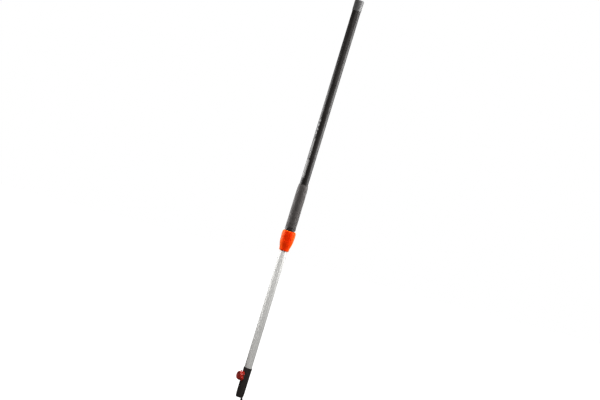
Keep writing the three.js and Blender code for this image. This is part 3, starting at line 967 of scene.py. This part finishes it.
def build_lock_knob():
    """A knob with a dished round face, four lobes that flare towards the head and a hollow back."""
    face, back = knob.low.x, knob.high.x
    rim = 13.0
    lobe = 17.2
    lobe_spacing = TURN / 4
    stud_bore, stud_end = SCREW_R + GAP, stud.low.x - GAP
    hollow = BOSS_R + 0.6
    hollow_floor = head.low.x - 0.4
    notch_r, notch_centre = 6.0, 17.2
    no_notch = 99.0
    wall_slope = 0.02
    blend = 2.6
    corners = [
        (0, face + 0.7), (2.2, face + 0.7, 0.3), (2.6, face + 1.1, 0.3), (8.2, face + 1.3, 1.2),
        (9.9, face + 0.2, 0.8), (11.0, face, 0.8), (rim - 0.1, face + 1.2, 1.2), (rim, face + 3.6, 0.4),
        (rim - 0.5, face + 4.3, 0.4), (rim + 0.3, face + 6.2, 0.9), (15.2, face + 9.2, 1.6),
        (lobe, back - 1.9, 1.0), (lobe - 0.1, back - 0.6, 0.6), (lobe - 1.2, back, 0.6),
        (hollow, back, 0.5), (hollow, hollow_floor, 0.3), (stud_bore, hollow_floor),
        (stud_bore, stud_end), (0, stud_end)]
    outline = refined(rounded(corners, 5), 0.5, closed=False)

    def notch_limit(angle):
        """Distance from the axis to the nearest notch's wall, or a large one between notches."""
        offset = (angle + lobe_spacing / 2) % lobe_spacing - lobe_spacing / 2
        reach = notch_r ** 2 - (notch_centre * sin(offset)) ** 2
        return notch_centre * cos(offset) - sqrt(reach) if reach > 0 else no_notch

    def lobed(radius, height, angle):
        if radius <= hollow + 0.01 or height < face + 4.0:
            return radius, height
        limit = notch_limit(angle)
        overlap = max(0.0, blend - abs(radius - limit)) / blend
        cut = min(radius, limit + wall_slope * (radius - limit)) - overlap ** 2 * blend / 4
        share = ease(height, face + 4.2, face + 6.4)
        return radius + (cut - radius) * share, height

    made = lathe("lock_knob_plastic", outline, 240, lobed, ALONG_SCREW)
    settle(made, "clamp_screw", "knob_red", "lock_knob", sharp=60)


def build_safety_catch():
    """The catch lever: a ribbed thumb pad above, a pivot in the middle and a locking nub below."""
    half = catch.radius
    back, front = 8.3, 9.8
    nub_back, nub_front = catch.low.x, catch.high.x
    pad_low, pad_high, pad_edge = SCOOP_Z - 8, SCOOP_Z + 8, 0.4
    nub_top = head.bottom - 1.3
    rib_spacing, rib_height = 2.6, 0.45

    def ribbed_face(z):
        """The face of the pad at a height: it follows the scoop, with ribs along its middle."""
        scoop = SCOOP_FLOOR + SCOOP_R - GAP - sqrt(SCOOP_R ** 2 - (z - SCOOP_Z) ** 2)
        rib = ease(wave((z - SCOOP_Z) * TURN / rib_spacing), 0.3, 0.9)
        inner = 1 - ease(abs(z - SCOOP_Z), 5.2, 6.2)
        return scoop - 0.35 + rib_height * rib * inner

    steps = 80
    ribbed_length = pad_high - pad_low - 2 * pad_edge
    heights = [pad_low + pad_edge + ribbed_length * i / steps for i in range(steps + 1)]
    thumb = [(ribbed_face(z), z) for z in heights]
    below = rounded([
        (back, nub_top, 0.3), (nub_back, nub_top, 0.3), (nub_back, catch.bottom, 0.8),
        (nub_front - 2, catch.bottom, 0.8), (nub_front, catch.bottom + 2.2, 0.9),
        (nub_front, nub_top, 0.8), (front, nub_top, 0.5), (front, pad_low, 0.3),
        (thumb[0][0], pad_low, 0.3)])
    above = rounded([(back + 1.4, pad_high, 0.4), (back, pad_high - 1, 0.5)])
    outline = [*below, *thumb, *above]
    lever = extruded("safety_catch_nylon", outline, half)
    pivot = rod(AXLE_R + 0.7, -half, half, ALONG_AXLE)
    made = carved(joined(lever, pivot), rod(AXLE_R + GAP, -5, 5, ALONG_AXLE))
    moulded(made, voxel=0.16, passes=3)
    settle(made, "catch_lever", "head_black", "safety_catch", sharp=60)


def build_catch_spring():
    """An arched leaf spring in the catch's slot, made in its rest shape; the real one flattens as the
    catch is pressed.
    """
    thickness = 0.35
    half_length = catch_spring.middle.z - catch_spring.bottom
    rise = catch_spring.high.x - catch_spring.low.x - thickness
    steps = 28
    shares = [2 * i / steps - 1 for i in range(steps + 1)]

    def arch(offset):
        return [(catch_spring.low.x + offset + rise * s * s, catch_spring.middle.z + half_length * s)
                for s in shares]

    outline = [*reversed(arch(0)), *arch(thickness)]
    strip = extruded("catch_spring_steel", outline, catch_spring.radius)
    settle(bevelled(strip, 0.08), "pole", "steel", "catch_spring")
    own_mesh(strip)


# ---- printed marks on the outer tube ----

INK = print_finish()
BAR_ANGLE = radians(194)
LINE_ANGLE = radians(199)
PRINT_LIFT = 0.06
PRINT_SINK = 0.04


def printed_patch(name, bottom, top, middle, half_width):
    """A thin curved patch of ink with rounded corners, lying on the outer tube."""
    steps = 24
    corner = min(half_width, (top - bottom) / 2) * 0.35
    low, high = OUTER_R - PRINT_SINK, OUTER_R + PRINT_LIFT

    def half_at(z):
        inset = max(0.0, corner - min(z - bottom, top - z))
        return half_width - corner + sqrt(max(0.0, corner ** 2 - inset ** 2))

    edge_steps = [corner * (1 - cos(pi / 2 * i / 6)) for i in range(7)]
    heights = [*(bottom + e for e in edge_steps), *(top - e for e in reversed(edge_steps))]
    vertices = []
    for z in heights:
        arc = [middle + half_at(z) * (2 * i / steps - 1) / OUTER_R for i in range(steps + 1)]
        for radius, angles in ((high, arc), (low, reversed(arc))):
            vertices += [(radius * cos(a), radius * sin(a), z) for a in angles]
    row = 2 * (steps + 1)
    last = row * (len(heights) - 1)
    faces = [[k + i, k + (i + 1) % row, k + row + (i + 1) % row, k + row + i]
             for k in range(0, last, row) for i in range(row)]
    faces += [[i, row - 1 - i, row - 2 - i, i + 1] for i in range(steps)]
    faces += [[last + i, last + i + 1, last + row - 2 - i, last + row - 1 - i] for i in range(steps)]
    settle(mesh_object(name, vertices, faces), "handle", "tube_black", finish=INK)


def build_marks():
    """Plain marks where the real tube is printed: a bar, a fine line and four short blocks."""
    start = hand_grip.top
    printed_patch("print_bar", start + 20, start + 77, BAR_ANGLE, 5.0)
    printed_patch("print_line", start + 83, start + 143, LINE_ANGLE, 2.2)
    for i in range(4):
        low = start + 156 + 13 * i
        printed_patch(f"print_block_{i + 1}", low, low + 7, BAR_ANGLE, 2.6)


build_outer_tube()
build_end_cap()
build_hand_grip()
build_collet_body()
build_stop_pin()
build_collet_rivets()
build_twist_collar()
build_wedge_ring()
build_wiper_seal()
build_inner_tube()
build_guide_bush()
build_guide_ring()
build_cross_pin(bush_pin, PIN_R, bush_pin.high.x, 0.35, 32, pointing(0, bush_pin.middle.z))
build_tool_head()
build_head_rivet()
build_threaded_insert()
build_clamp_pad()
build_clamp_stud()
build_lock_knob()
build_safety_catch()
build_cross_pin(catch_pin, AXLE_R, catch_pin.high.y, 0.2, 28, ALONG_AXLE)
build_catch_spring()
build_marks()


# ---- studio: floor, lights and camera ----

AXIS_MIDDLE = Vector((0, 0, (cad_bounds[0].z + cad_bounds[1].z) / 2))
AZIMUTH = radians(-32)
ELEVATION = radians(2)
LEAN = radians(16.93)  # how far the pole leans to the right in the picture
DISTANCE = 9.0
PICTURE_WIDTH = 1.8  # metres across the picture at the pole
AIM_RIGHT = 0.0031  # how far the camera looks beside and above the middle, in metres
AIM_UP = 0.0012


def make_floor():
    """A large pale floor well below the part, which the part doesn't reflect."""
    half, drop = 12.0, 0.35
    low = cad_bounds[0].z - drop
    mesh = bpy.data.meshes.new("studio_floor")
    corners = [(-half, -half, low), (half, -half, low), (half, half, low), (-half, half, low)]
    mesh.from_pydata(corners, [], [(0, 1, 2, 3)])
    floor = added("studio_floor", mesh)
    paper = Paint("floor_paper", (0.86, 0.86, 0.85), 0.9, specular=0.1)
    paper.mottle(400, 0.02)
    paper.set("Emission Color", (1, 1, 1, 1))
    paper.set("Emission Strength", 1.0)
    mesh.materials.append(paper.done())
    floor.visible_diffuse = False
    floor.visible_glossy = False


def make_world():
    """White to the camera and a softer, dimmer white to the part."""
    world = bpy.data.worlds.new("studio_world")
    world.use_nodes = True
    nodes, links = world.node_tree.nodes, world.node_tree.links
    seen = nodes["Background"]
    seen.inputs["Color"].default_value = (1, 1, 1, 1)
    lighting = nodes.new("ShaderNodeBackground")
    lighting.inputs["Color"].default_value = (1.0, 0.985, 0.97, 1)
    lighting.inputs["Strength"].default_value = 0.16
    mix = nodes.new("ShaderNodeMixShader")
    path = nodes.new("ShaderNodeLightPath")
    links.new(path.outputs["Is Camera Ray"], mix.inputs["Fac"])
    links.new(lighting.outputs["Background"], mix.inputs[1])
    links.new(seen.outputs["Background"], mix.inputs[2])
    links.new(mix.outputs["Shader"], nodes["World Output"].inputs["Surface"])
    bpy.context.scene.world = world


def direction(azimuth, elevation):
    """The direction from the part towards a place at that azimuth and elevation."""
    return Vector((sin(azimuth) * cos(elevation), -cos(azimuth) * cos(elevation), sin(elevation)))


def soft_light(name, side, rise, distance, size, power, height=0.0, spread=180):
    """A soft box side degrees to the camera's right and rise degrees up, facing the pole.

    It looks at the pole height above the middle, and spread is its beam angle.
    """
    light = bpy.data.lights.new(name, "AREA")
    light.shape = "RECTANGLE"
    light.size, light.size_y = size
    light.energy = power
    light.spread = radians(spread)
    made = added(name, light)
    away = direction(AZIMUTH + radians(side), radians(rise))
    made.location = AXIS_MIDDLE + away * distance + Vector((0, 0, height))
    made.rotation_euler = away.to_track_quat("Z", "Y").to_euler()
    made.visible_camera = False


def make_camera():
    """A long lens from the photo's side, rolled so that the pole leans as in the picture."""
    data = bpy.data.cameras.new("camera")
    data.sensor_width = 36
    data.lens = data.sensor_width * DISTANCE / PICTURE_WIDTH
    data.clip_end = 100
    camera = added("camera", data)
    back = direction(AZIMUTH, ELEVATION)
    level_right = Vector((cos(AZIMUTH), sin(AZIMUTH), 0))
    level_up = back.cross(level_right)
    right = level_right * cos(LEAN) + level_up * sin(LEAN)
    up = level_up * cos(LEAN) - level_right * sin(LEAN)
    turn = Matrix((right, up, back)).transposed().to_4x4()
    place = AXIS_MIDDLE + right * AIM_RIGHT + up * AIM_UP + back * DISTANCE
    camera.matrix_world = Matrix.Translation(place) @ turn
    bpy.context.scene.camera = camera


make_floor()
make_world()
soft_light("right_soft_box", 92, 0, 0.75, size=(1, 1), power=8.5, height=0.42, spread=60)
soft_light("right_fill", 75, 10, 1.6, size=(0.7, 0.9), power=4.5, height=-0.2)
soft_light("left_soft_box", -105, 0, 0.85, size=(0.7, 0.6), power=3.4, height=0.12, spread=60)
soft_light("left_low_box", -85, 0, 0.6, size=(0.5, 0.2), power=0.13, height=-0.37, spread=35)
soft_light("front_key", 15, 42, 6, size=(2.2, 2.2), power=345)
soft_light("back_fill", 175, 50, 2.6, size=(1, 1), power=45)
make_camera()
bpy.context.scene.view_settings.view_transform = "Standard"
